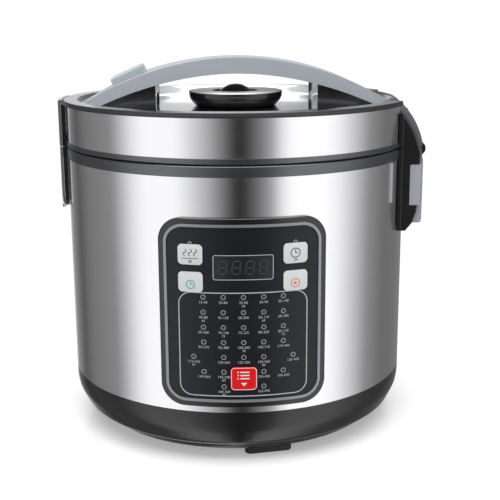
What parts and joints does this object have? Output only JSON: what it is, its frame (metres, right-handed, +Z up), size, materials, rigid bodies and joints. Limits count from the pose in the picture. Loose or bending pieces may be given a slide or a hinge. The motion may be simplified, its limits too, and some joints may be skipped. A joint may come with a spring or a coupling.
{
  "type": "electric multicooker",
  "caption": "Countertop electric multicooker: steel drum on a black base, hinged lid with arched handle, steam valve, front control panel and removable pot.",
  "frame": {"origin": "on the drum's vertical axis, in the plane that the feet stand on", "axes": "+Z up, control panel towards -Y, lid hinge towards +X, latch towards -X"},
  "size_m": [0.2918, 0.2755, 0.29],
  "materials": {
    "rubber_black": "matte",
    "black_gloss": "gloss",
    "gunmetal_gloss": "gloss",
    "brushed_steel": "vertical soft reflections",
    "silver_gloss": "mirror-like silver coating",
    "grey_satin_plastic": "satin",
    "light_grey_plastic": "satin",
    "white_plastic": "semi-gloss",
    "red_plastic": "gloss",
    "smoked_window": "gloss, dark tinted",
    "lamp_lens": "semi-gloss",
    "clear_lilac_plastic": "translucent",
    "aluminium": "satin",
    "pot_coating": "dark non-stick coating",
    "liner_steel": "satin zinc-coated sheet",
    "spring_steel": "satin",
    "brass": "satin",
    "latch_plastic": "matte",
    "board_green": "solder mask",
    "component_black": "matte"
  },
  "bodies": {
    "base": {"feet": "rubber_black", "base_plate": "black_gloss", "base_shell": "black_gloss", "base_screws": "spring_steel", "inlet_housing": "black_gloss", "inlet_pins": "brass", "outer_sleeve": "brushed_steel", "body_ring": "gunmetal_gloss", "liner": "liner_steel", "band_heater": "spring_steel", "heater_plate": "aluminium", "heater_element": "spring_steel", "sensor_holder": "white_plastic", "sensor_spring": "spring_steel", "power_board": "board_green", "power_components": "component_black", "panel_bezel": "black_gloss", "panel_trim": "silver_gloss", "panel_fascia": "black_gloss", "display_window": "smoked_window", "panel_lamps": "lamp_lens", "control_board": "board_green", "key_switches": "component_black", "display_module": "component_black", "hinge_housing": "black_gloss", "hinge_pin": "spring_steel", "hinge_spring": "spring_steel", "strike_frame": "black_gloss", "strike_cover": "silver_gloss", "latch_catch": "spring_steel"},
    "lid": {"lid_ring": "gunmetal_gloss", "lid_band": "brushed_steel", "lid_rim": "gunmetal_gloss", "lid_plate": "silver_gloss", "lid_deck": "white_plastic", "inner_cover": "aluminium", "cover_seal": "rubber_black", "valve_seat": "white_plastic", "hinge_skin": "silver_gloss", "hinge_cover": "black_gloss", "latch_frame": "black_gloss", "latch_cover": "silver_gloss", "handle_supports": "black_gloss", "handle_screws": "spring_steel", "handle_grip": "grey_satin_plastic", "latch_pin": "spring_steel"},
    "pot": {"inner_pot": "pot_coating"},
    "sensor": {"sensor_cap": "aluminium"},
    "collector": {"collector_cup": "clear_lilac_plastic"},
    "button": {"release_button": "light_grey_plastic"},
    "latch": {"latch_hook": "latch_plastic"},
    "valve": {"valve_base": "black_gloss"},
    "valve_top": {"valve_cap": "black_gloss", "valve_ring": "silver_gloss"},
    "valve_weight": {"valve_dome": "black_gloss"},
    "key_warm_body": {"key_warm": "white_plastic"},
    "key_time_body": {"key_time": "white_plastic"},
    "key_delay_body": {"key_delay": "white_plastic"},
    "key_start_body": {"key_start": "white_plastic"},
    "key_menu_body": {"key_menu": "red_plastic"}
  },
  "joints": [
    {"name": "lid_hinge", "type": "hinge", "parent": "base", "child": "lid", "pos_m": [0.1432, 0, 0.219], "axis": [0, 1, 0], "range_deg": [0, 90]},
    {"name": "release_press", "type": "slide", "parent": "lid", "child": "button", "axis": [0.4067, 0, -0.9135], "range_m": [0, 0.0035], "stiffness_N_per_m": 800, "springref_m": -0.001},
    {"name": "latch_turn", "type": "hinge", "parent": "lid", "child": "latch", "pos_m": [-0.12, 0, 0.243], "axis": [0, 1, 0], "range_deg": [0, 4.3]},
    {"name": "valve_lift", "type": "slide", "parent": "lid", "child": "valve", "axis": [0, 0, 1], "range_m": [0, 0.0065]},
    {"name": "valve_cap_twist", "type": "hinge", "parent": "valve", "child": "valve_top", "pos_m": [0, 0, 0.2615], "axis": [0, 0, 1], "range_deg": [0, 30]},
    {"name": "valve_weight_lift", "type": "slide", "parent": "valve_top", "child": "valve_weight", "axis": [0, 0, 1], "range_m": [0, 0.0015]},
    {"name": "pot_turn", "type": "hinge", "parent": "base", "child": "pot", "pos_m": [0, 0, 0.15], "axis": [0, 0, 1], "continuous": true},
    {"name": "sensor_press", "type": "slide", "parent": "base", "child": "sensor", "axis": [0, 0, -1], "range_m": [0, 0.002], "stiffness_N_per_m": 300, "springref_m": -0.002, "deforming": ["sensor_spring"]},
    {"name": "collector_pull", "type": "slide", "parent": "base", "child": "collector", "axis": [1, 0, 0], "range_m": [0, 0.025]},
    {"name": "key_warm_press", "type": "slide", "parent": "base", "child": "key_warm_body", "axis": [0, 1, 0], "range_m": [0, 0.0008], "stiffness_N_per_m": 400, "springref_m": -0.0005},
    {"name": "key_time_press", "type": "slide", "parent": "base", "child": "key_time_body", "axis": [0, 1, 0], "range_m": [0, 0.0008], "stiffness_N_per_m": 400, "springref_m": -0.0005},
    {"name": "key_delay_press", "type": "slide", "parent": "base", "child": "key_delay_body", "axis": [0, 1, 0], "range_m": [0, 0.0008], "stiffness_N_per_m": 400, "springref_m": -0.0005},
    {"name": "key_start_press", "type": "slide", "parent": "base", "child": "key_start_body", "axis": [0, 1, 0], "range_m": [0, 0.0008], "stiffness_N_per_m": 400, "springref_m": -0.0005},
    {"name": "key_menu_press", "type": "slide", "parent": "base", "child": "key_menu_body", "axis": [0, 1, 0], "range_m": [0, 0.0008], "stiffness_N_per_m": 400, "springref_m": -0.0005}
  ],
  "couplings": [
    {"joint": "latch_turn", "follows": "release_press", "rad_per_m": 19.95}
  ]
}
